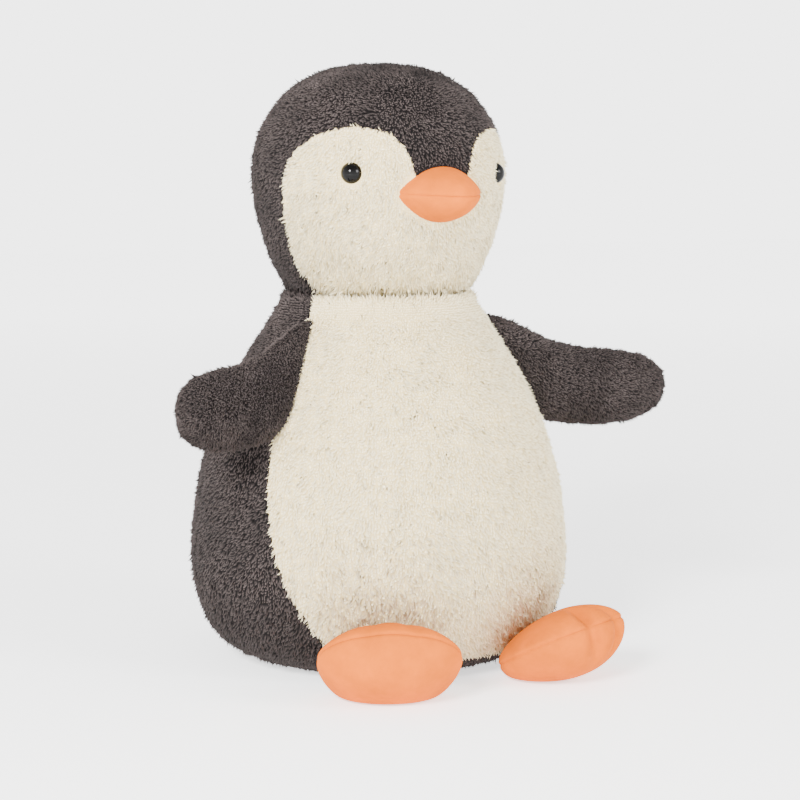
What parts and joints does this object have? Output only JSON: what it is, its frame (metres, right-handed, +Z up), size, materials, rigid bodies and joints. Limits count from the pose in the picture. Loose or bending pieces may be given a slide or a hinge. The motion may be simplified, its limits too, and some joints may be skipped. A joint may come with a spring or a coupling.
{
  "type": "plush penguin",
  "caption": "Stuffed plush penguin that stands on its flat base, with a turning and nodding head, two swinging wings and two flexing feet.",
  "frame": {"origin": "centre of the flat base, on the surface that it stands on", "axes": "+Z up through the body and head, -Y the way the toy faces, -X the toy's right side"},
  "size_m": [0.3196, 0.2501, 0.34],
  "materials": {
    "cream_plush": "short cream pile",
    "charcoal_plush": "short charcoal pile",
    "orange_suede": "orange micro-suede",
    "eye_plastic": "glossy black",
    "washer_plastic": "plain moulded white",
    "polyester_stuffing": "loose white fibre",
    "pouch_cloth": "plain woven cotton filled with beans"
  },
  "bodies": {
    "body": {"belly_panel": "cream_plush", "back_panel_left": "charcoal_plush", "back_panel_right": "charcoal_plush", "base_panel": "charcoal_plush", "body_stuffing": "polyester_stuffing", "bean_pouch": "pouch_cloth"},
    "neck": {"neck_plug": "polyester_stuffing"},
    "head": {"crown_gusset": "charcoal_plush", "head_side_panel_left": "charcoal_plush", "head_side_panel_right": "charcoal_plush", "face_panel_left": "cream_plush", "face_panel_right": "cream_plush", "head_stuffing": "polyester_stuffing", "beak_upper_panel": "orange_suede", "beak_lower_panel": "orange_suede", "beak_stuffing": "polyester_stuffing", "eye_left": "eye_plastic", "eye_right": "eye_plastic", "eye_washer_left": "washer_plastic", "eye_washer_right": "washer_plastic"},
    "wing_left": {"wing_front_panel_left": "charcoal_plush", "wing_back_panel_left": "charcoal_plush", "wing_stuffing_left": "polyester_stuffing"},
    "wing_right": {"wing_front_panel_right": "charcoal_plush", "wing_back_panel_right": "charcoal_plush", "wing_stuffing_right": "polyester_stuffing"},
    "foot_left": {"foot_upper_panel_left": "orange_suede", "foot_sole_panel_left": "orange_suede", "foot_stuffing_left": "polyester_stuffing"},
    "foot_right": {"foot_upper_panel_right": "orange_suede", "foot_sole_panel_right": "orange_suede", "foot_stuffing_right": "polyester_stuffing"}
  },
  "joints": [
    {"name": "head_turn", "type": "hinge", "parent": "body", "child": "neck", "pos_m": [0, 0, 0.256], "axis": [0, 0, 1], "range_deg": [-30, 30], "stiffness_Nm_per_rad": 0.5},
    {"name": "head_nod", "type": "hinge", "parent": "neck", "child": "head", "pos_m": [0, 0, 0.256], "axis": [1, 0, 0], "range_deg": [-10, 10], "stiffness_Nm_per_rad": 1.5},
    {"name": "wing_swing_left", "type": "hinge", "parent": "body", "child": "wing_left", "pos_m": [0.07761, -0.03215, 0.166], "axis": [0.4317, -0.1788, -0.8841], "range_deg": [-18, 18], "stiffness_Nm_per_rad": 0.25},
    {"name": "wing_swing_right", "type": "hinge", "parent": "body", "child": "wing_right", "pos_m": [-0.07761, -0.03215, 0.166], "axis": [0.4317, 0.1788, 0.8841], "range_deg": [-18, 18], "stiffness_Nm_per_rad": 0.25},
    {"name": "foot_flex_left", "type": "hinge", "parent": "body", "child": "foot_left", "pos_m": [0.04086, -0.08019, 0.012], "axis": [-0.891, -0.454, 0], "range_deg": [0, 10], "stiffness_Nm_per_rad": 0.6},
    {"name": "foot_flex_right", "type": "hinge", "parent": "body", "child": "foot_right", "pos_m": [-0.04086, -0.08019, 0.012], "axis": [-0.891, 0.454, 0], "range_deg": [0, 10], "stiffness_Nm_per_rad": 0.6}
  ]
}
